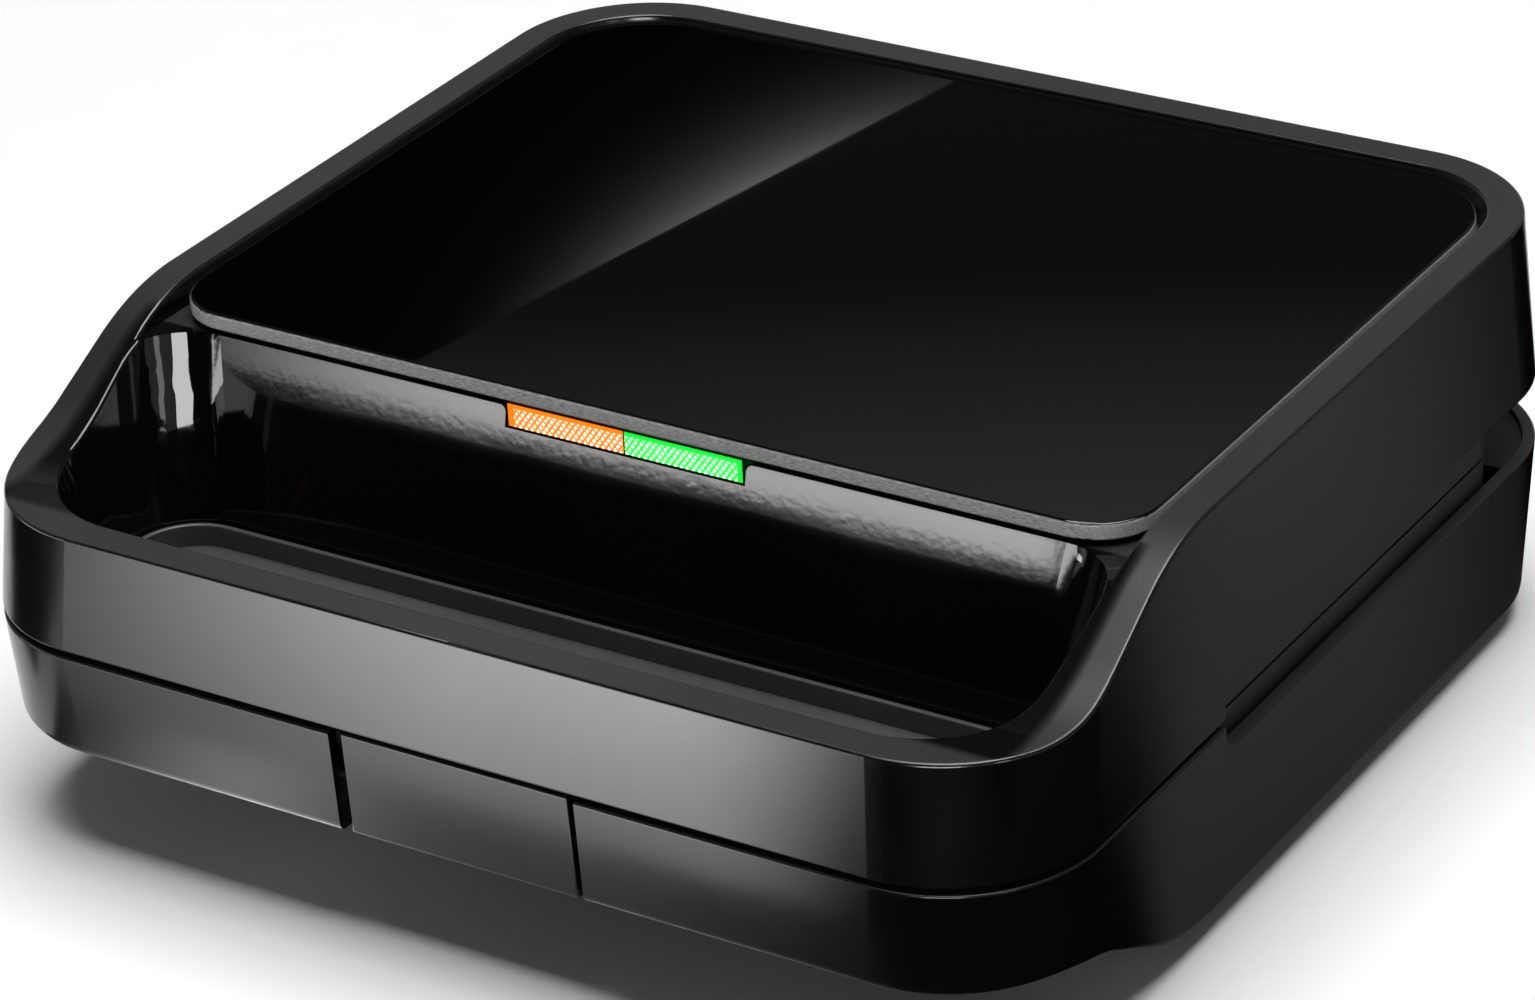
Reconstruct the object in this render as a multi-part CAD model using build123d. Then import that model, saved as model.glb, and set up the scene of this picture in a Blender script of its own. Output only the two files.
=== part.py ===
from build123d import *
import math
import os

# Donut maker: two housings hinged at the rear, each with a heated plate of ring cavities.
# X runs to the right, -Y is the front and Z is up. The origin is on the table under the middle.
# All sizes are in millimetres, and a draft is the sideways lean of a wall per millimetre of height.

# Housings
width = 240.0
depth = 236.6
corner_radius = 30.4
foot_height = 5.0
base_height = 40.4
seam_gap = 1.3
lid_height = 43.7
bar_height = 23.7
chin_height = 18.2
side_draft = 0.057
front_draft = 0.123
base_draft = 0.053
recess_draft = 0.15
recess_rear_draft = 0.235
wall = 2.6
recess_wall = 2.4
deck_thickness = 2.5
rim_land = 7.4
rim_edge_radius = 0.7
seam_edge_radius = 0.5
bottom_edge_radius = 2.0
notch_edge_radius = 1.5

# S-shaped steps of the rim and of the underside
rim_step_start = 78.3
rim_step_radius = 50.0
rim_step_angle = 29.0
chin_step_end = 74.3
chin_step_radius = 45.0
chin_step_angle = 28.0

# Finger recess and top panel
handle_depth = 63.3
recess_front_round = 0.363
recess_rear_round = 0.221
panel_thickness = 3.6
panel_sunk = 1.0
panel_gap = 1.2
panel_corner_radius = 13.0
panel_overhang = 0.6
panel_edge_radius = 0.6
gasket_thickness = 1.2
gasket_width = 10.0
gasket_inset = 8.0

# Side slot, where the edges of the plates show
slot_start = 78.3
slot_above_lid_edge = 7.0
slot_below_base_top = 5.7
split_height = 5.3
slot_corner_radius = 4.0
slot_lip_radius = 1.2

# Hinge
hinge_inset = 5.3
hinge_radius = 4.6
hinge_pin_radius = 1.75
hinge_middle_x = 70.0
lug_width = 10.0
ear_width = 7.0
side_play = 0.3
running_clearance = 0.05
fixed_clearance = 0.02

# Cooking plates
plate_gap = 0.6
plate_clearance = 0.6
plate_rear_inset = 33.5
plate_corner_radius = 10.0
plate_sheet = 2.5
plate_skirt = 2.5
lower_skirt_height = 6.5
upper_skirt_height = 10.0
ring_radius = 18.0
ring_tube_radius = 10.0
ring_columns = 3
ring_rows = 2
post_radius = 4.5
post_edge_distance = 10.0

# Heating elements, clips and shields
element_radius = 3.1
element_gap = 0.1
terminal_radius = 1.4
terminal_length = 8.0
clip_width = 8.0
clip_thickness = 1.0
clip_overhang = 6.0
element_margin = 1.0
shield_thickness = 0.8
shield_margin = 3.0
shield_flange = 6.0
lower_shield_height = 14.2
upper_shield_height = 22.4

# Screws
screw_radius = 1.6
screw_head_radius = 3.4
screw_head_height = 2.4
screw_hole_clearance = 0.3
thread_clearance = 0.05
head_clearance = 0.4
head_sunk = 2.0
boss_radius = 5.5
small_boss_radius = 3.6
screw_grip = 8.0
small_head_radius = 2.8
small_head_height = 1.4
small_head_sunk = 0.1

# Latch
latch_width = 51.0
latch_side_gap = 1.9
latch_recess = 1.0
latch_panel = 2.5
latch_pivot_height = 10.3
latch_pivot_behind = 2.2
latch_boss_radius = 3.6
latch_back_gap = 1.0
latch_rib = 2.2
latch_edge_radius = 0.5
latch_pin_radius = 1.5
hook_width = 18.0
hook_thickness = 2.2
hook_nose = 1.35
hook_nose_height = 2.4
hook_lift = 0.7
hook_side_gap = 0.8
hook_front_gap = 1.0
catch_clearance = 0.35
cover_thickness = 2.5
cover_clearance = 0.15

# Covers that close the two housings behind the plates
rear_cover_sunk = 1.0
rear_boss_x = 52.0
rear_boss_inset = 20.0

# Tray under the finger recess
tray_sunk = 1.8
tray_thickness = 2.2
tray_step_height = 0.7
tray_step_width = 1.0
tray_clearance = 0.15
tray_lip_gap = 0.8
tray_lip_width = 1.2
tray_lip_rise = 1.6
tray_lip_radius = 0.4
partition = 2.5
partition_setback = 0.7

# Indicator lenses and lamps
lens_width = 26.4
lens_height = 4.8
lens_depth = 6.5
lens_gap = 0.3
lens_side_gap = 0.7
lens_guide_gap = 0.7
lens_back = 2.2
lamp_radius = 2.4
lamp_length = 9.0
lamp_holder_depth = 11.0
lamp_holder_height = 8.5
lamp_clearance = 0.1
lamp_below_deck = 4.2
lamp_ahead = 1.0

# Small parts inside
thermostat_radius = 8.0
thermostat_height = 9.0
thermostat_flange = 1.0
thermostat_edge_gap = 1.5
thermostat_tab = 3.0
fuse_radius = 2.2
fuse_length = 14.0
fuse_strap = 1.0
fuse_strap_width = 6.0
block_length = 30.0
block_width = 14.0
block_height = 12.0
block_distance = 26.0

# Feet and cord inlet
foot_radius = 9.0
foot_stem_radius = 3.0
foot_side_inset = 28.0
foot_front_inset = 90.0
foot_rear_inset = 26.0
foot_lip_radius = 4.2
foot_lip_height = 1.5
foot_edge_radius = 1.0
gland_x = 40.0
gland_height = 17.0
gland_bore_radius = 3.7
gland_wall = 2.2
gland_flange_radius = 8.5
gland_flange_thickness = 1.5
gland_inner_length = 8.0

# Heights and places that follow from the sizes above
far = 4.0 * max(width, depth)
base_bottom_z = foot_height
base_top_z = base_bottom_z + base_height
floor_z = base_bottom_z + wall
lid_edge_z = base_top_z + seam_gap
rim_z = lid_edge_z + lid_height
bar_z = lid_edge_z + bar_height
chin_z = base_bottom_z + chin_height
panel_top_z = rim_z - panel_sunk
panel_bottom_z = panel_top_z - panel_thickness
deck_top_z = panel_bottom_z - gasket_thickness
deck_bottom_z = deck_top_z - deck_thickness
lid_rear_z = lid_edge_z + slot_above_lid_edge
base_rear_z = base_top_z - slot_below_base_top
hinge_y = depth / 2 - hinge_inset
hinge_z = (lid_rear_z + base_rear_z) / 2
panel_front_y = -depth / 2 + handle_depth
slot_y = -depth / 2 + slot_start
rim_half = width / 2 - side_draft * lid_height
rim_rear_y = depth / 2 - side_draft * lid_height
bar_front_y = -depth / 2 + front_draft * bar_height
split_z = base_rear_z + split_height
lower_plate_z = split_z - plate_gap / 2
upper_plate_z = split_z + plate_gap / 2
lower_shield_z = floor_z + lower_shield_height
upper_shield_z = upper_plate_z + upper_shield_height
upper_flange_z = upper_shield_z + shield_thickness + shield_flange


def rounded_face(half, front, rear, front_radius, rear_radius, z):
    """Flat rectangle at height z with rounded front and rear corners."""
    face = Rectangle(2 * half, rear - front)
    face = fillet(face.vertices().group_by(Axis.Y)[0], front_radius)
    face = fillet(face.vertices().group_by(Axis.Y)[-1], rear_radius)
    return Pos(0, (front + rear) / 2, z) * face


def drafted(outline, low, high):
    """Solid between two heights of an outline that changes with height."""
    return loft([outline(low), outline(high)], ruled=True)


def block(x0, x1, y0, y1, z0, z1):
    """Box given by its limits, in any order."""
    box = Box(abs(x1 - x0), abs(y1 - y0), abs(z1 - z0))
    return Pos((x0 + x1) / 2, (y0 + y1) / 2, (z0 + z1) / 2) * box


def post(x, y, z0, z1, radius):
    """Upright cylinder between two heights, in any order."""
    return Pos(x, y, (z0 + z1) / 2) * Cylinder(radius, abs(z1 - z0))


def rod_x(x0, x1, y, z, radius):
    """Cylinder along X."""
    return Pos((x0 + x1) / 2, y, z) * Rot(0, 90, 0) * Cylinder(radius, x1 - x0)


def rod_y(x, y0, y1, z, radius):
    """Cylinder along Y."""
    return Pos(x, (y0 + y1) / 2, z) * Rot(90, 0, 0) * Cylinder(radius, y1 - y0)


def across(points, half):
    """Solid of a YZ polygon, as wide as half to each side of the middle."""
    face = make_face(Polyline(*points, close=True))
    return extrude(Plane.YZ * face, amount=half, both=True)


def lid_outline(inset):
    """Outside of the lid at a height, moved in by inset."""
    def at(z):
        rise = z - lid_edge_z
        radius = corner_radius - inset
        return rounded_face(
            width / 2 - side_draft * rise - inset,
            -depth / 2 + front_draft * rise + inset,
            depth / 2 - side_draft * rise - inset,
            radius, radius, z)
    return at


def base_outline(inset):
    """Outside of the base at a height, moved in by inset."""
    def at(z):
        lean = base_draft * (base_top_z - z) + inset
        radius = corner_radius - inset
        return rounded_face(width / 2 - lean, -depth / 2 + lean, depth / 2 - lean, radius, radius, z)
    return at


def recess_half(z):
    """Half width between the side walls inside the rim."""
    return rim_half - rim_land - recess_draft * (rim_z - z)


def recess_front_y(z):
    """Face of the front bar towards the fingers."""
    return bar_front_y + rim_land + recess_draft * (bar_z - z)


def recess_rear_y(z):
    """Wall under the front edge of the top panel."""
    return panel_front_y + panel_overhang - recess_rear_draft * (deck_top_z - z)


def recess_outline(grow):
    """Finger recess at a height, moved out by grow."""
    def at(z):
        return rounded_face(
            recess_half(z) + grow, recess_front_y(z) - grow, recess_rear_y(z) + grow,
            recess_front_round * handle_depth + grow, recess_rear_round * handle_depth + grow, z)
    return at


def well_outline(z):
    """Hollow for the top panel, inside the rim."""
    rear = rim_rear_y - rim_land - recess_draft * (rim_z - z)
    radius = corner_radius - rim_land
    return rounded_face(recess_half(z), recess_rear_y(deck_top_z) - radius, rear, radius / 4, radius, z)


def step_points(start_y, start_z, end_z, radius, angle):
    """Five places of an S-shaped step towards the front: start, two arcs with a slope between, end."""
    turn = math.radians(angle)
    drop = abs(start_z - end_z)
    way = math.copysign(1.0, end_z - start_z)
    arc = min(radius, 0.49 * drop / (1 - math.cos(turn)))
    arc_run = arc * math.sin(turn)
    arc_drop = arc * (1 - math.cos(turn))
    slope_drop = drop - 2 * arc_drop
    half_run = arc * math.sin(turn / 2)
    half_drop = arc * (1 - math.cos(turn / 2))
    slope_y = start_y - arc_run
    low_y = slope_y - slope_drop / math.tan(turn)
    end_y = low_y - arc_run
    return [
        (start_y, start_z),
        (start_y - half_run, start_z + way * half_drop),
        (slope_y, start_z + way * arc_drop),
        (low_y, end_z - way * arc_drop),
        (end_y + half_run, end_z - way * half_drop),
        (end_y, end_z)]


def step_cutter(points, beyond_z):
    """Everything on the far side of an S-shaped step and its level front, up or down to beyond_z."""
    start, bend, slope, low, low_bend, end = points
    edges = [
        ThreePointArc(start, bend, slope),
        Line(slope, low),
        ThreePointArc(low, low_bend, end),
        Polyline(end, (-far, end[1]), (-far, beyond_z), (start[0], beyond_z), start)]
    face = make_face(edges)
    return extrude(Plane.YZ * face, amount=far, both=True)


def rim_cutter(lowered):
    """Space above the stepped rim, or above a copy of it lowered by a wall."""
    start_y = -depth / 2 + rim_step_start
    points = step_points(start_y, rim_z - lowered, bar_z - lowered, rim_step_radius, rim_step_angle)
    return step_cutter(points, far)


def chin_cutter(raised):
    """Space below the raised front handle, or below a copy of it raised by a wall."""
    start_y = -depth / 2 + chin_step_end
    points = step_points(start_y, base_bottom_z + raised, chin_z + raised, chin_step_radius, chin_step_angle)
    return step_cutter(points, -far)


def slot_cutter(edge_z, beyond_z):
    """Space of the side and rear slot on one side of a housing's edge, with a rounded front corner."""
    points = [(slot_y, edge_z), (far, edge_z), (far, beyond_z), (slot_y, beyond_z)]
    face = make_face(Polyline(*points, close=True))
    corner = face.vertices().sort_by_distance(Vertex(slot_y, edge_z, 0))[0]
    face = fillet(corner, slot_corner_radius)
    return extrude(Plane.YZ * face, amount=far, both=True)


# Places shared by several pieces
inner_half = min(
    width / 2 - base_draft * (base_top_z - lower_plate_z + lower_skirt_height),
    width / 2 - side_draft * (upper_plate_z + upper_skirt_height - lid_edge_z)) - wall
plate_half = inner_half - plate_clearance
plate_front_y = recess_rear_y(upper_plate_z + upper_skirt_height) + recess_wall + plate_clearance
plate_rear_y = depth / 2 - plate_rear_inset
plate_middle_y = (plate_front_y + plate_rear_y) / 2
ring_pitch_x = 2 * (plate_half - plate_skirt) / ring_columns
ring_pitch_y = (plate_rear_y - plate_front_y - 2 * plate_skirt) / ring_rows
ring_places = [
    ((column - (ring_columns - 1) / 2) * ring_pitch_x,
     plate_middle_y + (row - (ring_rows - 1) / 2) * ring_pitch_y)
    for column in range(ring_columns) for row in range(ring_rows)]
post_reach = (plate_rear_y - plate_front_y) / 2 - plate_skirt - post_edge_distance
post_places = [
    (side * ring_pitch_x * (ring_columns - 2) / 2, plate_middle_y + end * post_reach)
    for side in (-1, 1) for end in (-1, 1)]
shell_radius = ring_tube_radius + plate_sheet
ear_span = lug_width / 2 + side_play + ear_width
partition_front_y = recess_rear_y(base_top_z) - partition_setback
tray_top_z = base_top_z - tray_sunk
tray_bottom_z = tray_top_z - tray_thickness


def latch_face_y(z):
    """Outer face of the latch lever, a little behind the front of the base."""
    return -depth / 2 + base_draft * (base_top_z - z) + latch_recess


latch_pivot_z = chin_z + latch_pivot_height
latch_pivot_y = latch_face_y(chin_z) + latch_panel + latch_pivot_behind
hook_front_y = latch_pivot_y - hook_thickness
hook_nose_y = latch_pivot_y + hook_nose
catch_y = hook_nose_y + catch_clearance
cover_top_z = lid_edge_z + cover_thickness
base_cover_z = base_rear_z - rear_cover_sunk
lid_cover_z = lid_rear_z + rear_cover_sunk
rear_boss_places = [(side * rear_boss_x, depth / 2 - rear_boss_inset) for side in (-1, 1)]
hook_nose_z = cover_top_z + hook_lift
hook_top_z = hook_nose_z + hook_nose_height
latch_bay_half = latch_width / 2 + latch_side_gap
latch_bay_back_y = latch_pivot_y + latch_boss_radius + latch_back_gap
lens_top_z = panel_bottom_z - lens_gap
lens_bottom_z = lens_top_z - lens_height
clip_places = [(side * ring_pitch_x * (ring_columns - 2) / 2, plate_middle_y) for side in (-1, 1)]
element_depth = shell_radius + element_gap + element_radius
clip_post_length = element_depth + element_radius
gland_z = base_bottom_z + gland_height


def lid_screw_places():
    """Middles of the channel around the finger recess, for the screws of its cover."""
    z = lid_edge_z
    front = (-depth / 2 + wall + recess_front_y(z) - recess_wall) / 2
    side = (width / 2 - wall + recess_half(z) + recess_wall) / 2
    side_y = -depth / 2 + corner_radius
    return [(-side, side_y), (side, side_y), (-latch_width, front), (latch_width, front)]


def tray_screw_places():
    """Places of the screws that hold the tray, on the flat part of the handle's underside."""
    y = -depth / 2 + wall + base_draft * base_height + 2 * small_boss_radius
    return [(-latch_width, y), (latch_width, y)]


def foot_places():
    """Middles of the four feet, with their names."""
    x = width / 2 - foot_side_inset
    ends = {"front": -depth / 2 + foot_front_inset, "rear": depth / 2 - foot_rear_inset}
    sides = {"left": -x, "right": x}
    return {f"{end}_{side}": (sides[side], ends[end]) for end in ends for side in sides}


def land_edges(body):
    """Edges around the flat top of the rim, leaving out the joins inside it."""
    found = {}
    for face in body.faces():
        box = face.bounding_box()
        on_deck = abs(box.max.Z - deck_top_z) < fixed_clearance
        upward = face.normal_at(face.center()).Z > 0.6
        if upward and not on_deck and box.min.Z > bar_z - fixed_clearance:
            for edge in face.edges():
                key = tuple(round(value, 2) for value in (*edge.center(), edge.length))
                found.setdefault(key, []).append(edge)
    return [edges[0] for edges in found.values() if len(edges) == 1]


def outer_edges(shell, outline, low_z, high_z):
    """Edges on the outside of a housing between two heights, such as the rim of its slot."""
    skin = drafted(outline, low_z, high_z)
    sides = [face for face in skin.faces() if face.bounding_box().size.Z > fixed_clearance]

    def on_skin(place):
        return min(side.distance_to(Vertex(*place)) for side in sides) < fixed_clearance / 10

    found = []
    for edge in shell.edges():
        box = edge.bounding_box()
        level = low_z - fixed_clearance < box.min.Z and box.max.Z < high_z + fixed_clearance
        if level and all(on_skin(edge @ share) for share in (0, 0.5, 1)):
            found.append(edge)
    return found


def slotted(body, outline, seam_z, edge_z, beyond_z):
    """Body of a housing with its side and rear slot cut and all edges of seam and slot softened."""
    body -= slot_cutter(edge_z, beyond_z)
    lip = body.edges().filter_by(Axis.X).sort_by_distance(Vertex(0, slot_y, seam_z))[0]
    body = fillet(lip, slot_lip_radius)
    low_z, high_z = min(seam_z, edge_z), max(seam_z, edge_z)
    return fillet(outer_edges(body, outline, low_z, high_z), seam_edge_radius)


def make_lid_housing():
    """Drafted shell with stepped rim, panel well, finger recess, hollow underside and hinge lugs."""
    body = slotted(drafted(lid_outline(0), lid_edge_z, rim_z), lid_outline(0), lid_edge_z, lid_rear_z, -far)
    body -= rim_cutter(0)
    body -= drafted(well_outline, deck_top_z, rim_z + wall)
    body -= drafted(recess_outline(0), lid_edge_z - wall, rim_z + wall)
    body = fillet(land_edges(body), rim_edge_radius)
    hollow = drafted(lid_outline(wall), lid_edge_z - wall, deck_bottom_z)
    hollow -= drafted(recess_outline(recess_wall), lid_edge_z - 2 * wall, rim_z)
    hollow -= rim_cutter(wall)
    for x, y in lid_screw_places():
        hollow -= post(x, y, cover_top_z, rim_z, small_boss_radius)
    for x, y in post_places:
        hollow -= post(x, y, upper_shield_z + shield_thickness, rim_z, boss_radius)
    for x, y in rear_boss_places:
        hollow -= post(x, y, lid_cover_z + cover_thickness, rim_z, small_boss_radius)
    shell = body - hollow
    inside = drafted(lid_outline(wall / 2), hinge_z - 2 * hinge_radius, rim_z)
    for side in (-1, 1):
        middle = side * hinge_middle_x
        lug = block(middle - lug_width / 2, middle + lug_width / 2, hinge_y - hinge_radius,
                    hinge_y + hinge_radius, hinge_z, lid_rear_z + 3 * hinge_radius)
        lug += rod_x(middle - lug_width / 2, middle + lug_width / 2, hinge_y, hinge_z, hinge_radius)
        lug -= rod_x(middle - lug_width, middle + lug_width, hinge_y, hinge_z,
                     hinge_pin_radius + running_clearance)
        shell += lug & inside
    notch_half = lens_width + lens_side_gap
    notch_front_y = recess_rear_y(lens_bottom_z) - wall
    shell -= block(-notch_half, notch_half, notch_front_y, panel_front_y + lens_depth,
                   lens_bottom_z - lens_gap, panel_bottom_z)
    along = shell.edges().filter_by(Axis.Y)
    shoulder_y = panel_front_y + lens_depth / 2
    corners = [Vertex(side * notch_half, shoulder_y, deck_top_z) for side in (-1, 1)]
    shell = fillet([along.sort_by_distance(corner)[0] for corner in corners], notch_edge_radius)
    pilot = screw_radius + thread_clearance
    holes = [post(x, y, lid_edge_z, cover_top_z + screw_grip, pilot) for x, y in lid_screw_places()]
    rear_tip_z = lid_cover_z + cover_thickness + screw_grip
    holes += [post(x, y, lid_cover_z, rear_tip_z, pilot) for x, y in rear_boss_places]
    for x, y in post_places:
        shoulder_z = deck_top_z - head_sunk - screw_head_height
        holes.append(post(x, y, shoulder_z, rim_z, screw_head_radius + head_clearance))
        holes.append(post(x, y, upper_shield_z, deck_top_z, screw_radius + screw_hole_clearance))
    return shell - holes


def panel_face(inset, z):
    """Outline of the top panel, moved in by inset."""
    rear = rim_rear_y - rim_land - recess_draft * (rim_z - panel_bottom_z) - panel_gap
    half = recess_half(panel_bottom_z) - panel_gap
    front_radius = max(panel_corner_radius - inset, panel_edge_radius)
    rear_radius = max(corner_radius - rim_land - panel_gap - inset, panel_edge_radius)
    return rounded_face(half - inset, panel_front_y + inset, rear - inset, front_radius, rear_radius, z)


def make_top_panel():
    """Flat panel with softened upper and lower edges."""
    panel = extrude(panel_face(0, panel_bottom_z), amount=panel_thickness)
    edges = panel.edges().group_by(Axis.Z)[-1] + panel.edges().group_by(Axis.Z)[0]
    return fillet(edges, panel_edge_radius)


def make_panel_gasket():
    """Flat adhesive frame between deck and panel."""
    frame = panel_face(gasket_inset, deck_top_z) - panel_face(gasket_inset + gasket_width, deck_top_z)
    return extrude(frame, amount=gasket_thickness)


def sunk_hole(x, y, outer_z, way):
    """Hole for a small screw through a cover with its outer face at outer_z; way 1 is a shank upwards."""
    head_z = outer_z + way * (small_head_sunk + small_head_height)
    head = post(x, y, outer_z - way * wall, head_z, small_head_radius + head_clearance)
    shank_z = outer_z + way * 2 * cover_thickness
    return head + post(x, y, outer_z, shank_z, screw_radius + screw_hole_clearance)


def make_handle_cover():
    """Strip that closes the hollow front bar and sides of the lid from below, with the catch slot."""
    gap = cover_clearance
    cover = drafted(lid_outline(wall + gap), lid_edge_z, cover_top_z)
    cover -= drafted(recess_outline(recess_wall + gap), lid_edge_z - wall, cover_top_z + wall)
    cover &= block(-far, far, -far, recess_rear_y(lid_edge_z), lid_edge_z, cover_top_z)
    slot_half = hook_width / 2 + hook_side_gap
    cover -= block(-slot_half, slot_half, hook_front_y - hook_front_gap, catch_y, -far, far)
    return cover - [sunk_hole(x, y, lid_edge_z, 1) for x, y in lid_screw_places()]


def make_rear_cover(outline, outer_z, way, notch_places, notch_half):
    """Flat cover behind the plates, with notches for the hinge; way points into the housing."""
    inner_z = outer_z + way * cover_thickness
    cover = drafted(outline, min(outer_z, inner_z), max(outer_z, inner_z))
    cover &= block(-far, far, plate_rear_y + plate_clearance, far, 0, rim_z)
    front_y = hinge_y - hinge_radius - side_play
    cover -= [block(x - notch_half, x + notch_half, front_y, far, 0, rim_z) for x in notch_places]
    return cover - [sunk_hole(x, y, outer_z, way) for x, y in rear_boss_places]


def make_base_rear_cover():
    """Cover of the base, notched for the four hinge ears."""
    reach = lug_width / 2 + side_play + ear_width / 2
    places = [side * hinge_middle_x + hand * reach for side in (-1, 1) for hand in (-1, 1)]
    return make_rear_cover(base_outline(wall + cover_clearance), base_cover_z, -1, places,
                           ear_width / 2 + side_play)


def make_lid_rear_cover():
    """Cover of the lid, notched for the two hinge lugs."""
    places = [side * hinge_middle_x for side in (-1, 1)]
    return make_rear_cover(lid_outline(wall + cover_clearance), lid_cover_z, 1, places,
                           lug_width / 2 + side_play)


def make_rear_cover_screws(outer_z, way):
    """Screws of a rear cover, with their heads sunk in it."""
    head_z = outer_z + way * small_head_sunk
    return Compound([small_screw(x, y, head_z, way) for x, y in rear_boss_places])


def small_screw(x, y, head_z, way):
    """Pan screw whose head starts at head_z and whose shank points up (way 1) or down (way -1)."""
    shank_z = head_z + way * small_head_height
    tip_z = shank_z + way * (cover_thickness - small_head_height + screw_grip - 2 * small_head_sunk)
    return post(x, y, head_z, shank_z, small_head_radius) + post(x, y, shank_z, tip_z, screw_radius)


def make_handle_screws():
    """Screws of the handle cover, with their heads sunk in it."""
    return Compound([small_screw(x, y, lid_edge_z + small_head_sunk, 1) for x, y in lid_screw_places()])


def make_plate(skirt_height, post_length):
    """Thin plate with ring cavities, its cooking face at height 0 and its back downwards."""
    def face(inset, z):
        radius = plate_corner_radius - inset
        front_y, rear_y = plate_front_y + inset, plate_rear_y - inset
        return rounded_face(plate_half - inset, front_y, rear_y, radius, radius, z)

    plate = extrude(face(0, 0), amount=-skirt_height)
    plate -= extrude(face(plate_skirt, -plate_sheet), amount=-skirt_height)
    back = block(-far, far, -far, far, -far, 0)
    shells = [Pos(x, y, 0) * Torus(ring_radius, shell_radius) & back for x, y in ring_places]
    posts = [post(x, y, -post_length, -plate_sheet / 2, post_radius) for x, y in post_places]
    posts += [post(x, y, -clip_post_length, -plate_sheet / 2, post_radius) for x, y in clip_places]
    plate += shells + posts
    cuts = [Pos(x, y, 0) * Torus(ring_radius, ring_tube_radius) for x, y in ring_places]
    pilot = screw_radius + thread_clearance
    cuts += [post(x, y, -post_length, -post_length + screw_grip + pilot, pilot) for x, y in post_places]
    cuts += [post(x, y, -clip_post_length, -clip_post_length + screw_grip + pilot, pilot)
             for x, y in clip_places]
    return plate - cuts


def make_element(way, face_z):
    """Tubular heater bent to a U under the ring rows; way is -1 below a plate and 1 above one."""
    z = face_z + way * element_depth
    near_y = plate_middle_y - ring_pitch_y / 2
    far_y = plate_middle_y + ring_pitch_y / 2
    bend_x = plate_half - plate_skirt - element_margin - element_radius - ring_pitch_y / 2
    end_x = -(plate_half - plate_skirt - element_margin - terminal_length)
    path = Wire([
        Edge.make_line((end_x, near_y, z), (bend_x, near_y, z)),
        Edge.make_three_point_arc((bend_x, near_y, z), (bend_x + ring_pitch_y / 2, plate_middle_y, z),
                                  (bend_x, far_y, z)),
        Edge.make_line((bend_x, far_y, z), (end_x, far_y, z))])
    start = Plane(origin=(end_x, near_y, z), z_dir=(1, 0, 0))
    tube = sweep(start * Circle(element_radius), path=path)
    for y in (near_y, far_y):
        tube += rod_x(end_x - terminal_length, end_x + element_radius, y, z, terminal_radius)
    return tube


def make_clips(way, face_z):
    """Flat straps that press the heater against the rings."""
    near_z = face_z + way * clip_post_length
    far_z = near_z + way * clip_thickness
    reach = ring_pitch_y / 2 + clip_overhang
    straps = []
    for x, y in clip_places:
        strap = block(x - clip_width / 2, x + clip_width / 2, y - reach, y + reach, near_z, far_z)
        straps.append(strap - post(x, y, -far, far, screw_radius + screw_hole_clearance))
    return Compound(straps)


def make_clip_screws(way, face_z):
    """One screw through the middle of each strap."""
    strap_z = face_z + way * (clip_post_length + clip_thickness)
    screws = []
    for x, y in clip_places:
        head_z = strap_z + way * small_head_height
        tip_z = strap_z - way * (clip_thickness + screw_grip)
        head = post(x, y, head_z, strap_z, small_head_radius)
        screws.append(head + post(x, y, tip_z, strap_z, screw_radius))
    return Compound(screws)


def make_shield(plate_side_z, way, front_y):
    """Sheet-metal pan whose flange points away from the plate; way is -1 below and 1 above."""
    def face(inset):
        radius = plate_corner_radius - shield_margin - inset
        half = plate_half - shield_margin - inset
        rear_y = plate_rear_y - shield_margin - inset
        return rounded_face(half, front_y + inset, rear_y, radius, radius, plate_side_z)

    pan = extrude(face(0), amount=way * (shield_thickness + shield_flange))
    hollow = extrude(face(shield_thickness), amount=way * far)
    pan -= Pos(0, 0, way * shield_thickness) * hollow
    for x, y in post_places:
        pan -= post(x, y, -far, far, screw_radius + screw_hole_clearance)
    return pan


def plate_screw(x, y, shoulder_z, tip_z):
    """Screw with its head on the outer side of shoulder_z and its tip at tip_z."""
    way = math.copysign(1.0, shoulder_z - tip_z)
    head_z = shoulder_z + way * screw_head_height
    return post(x, y, head_z, shoulder_z, screw_head_radius) + post(x, y, tip_z, shoulder_z, screw_radius)


def make_lower_plate_screws():
    """Long screws from the underside into the posts of the lower plate."""
    shoulder_z = base_bottom_z + head_sunk + screw_head_height
    tip_z = lower_shield_z + shield_thickness + screw_grip
    return Compound([plate_screw(x, y, shoulder_z, tip_z) for x, y in post_places])


def make_upper_plate_screws():
    """Long screws from the deck, hidden by the panel, into the posts of the upper plate."""
    shoulder_z = deck_top_z - head_sunk - screw_head_height
    return Compound([plate_screw(x, y, shoulder_z, upper_shield_z - screw_grip) for x, y in post_places])


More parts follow.
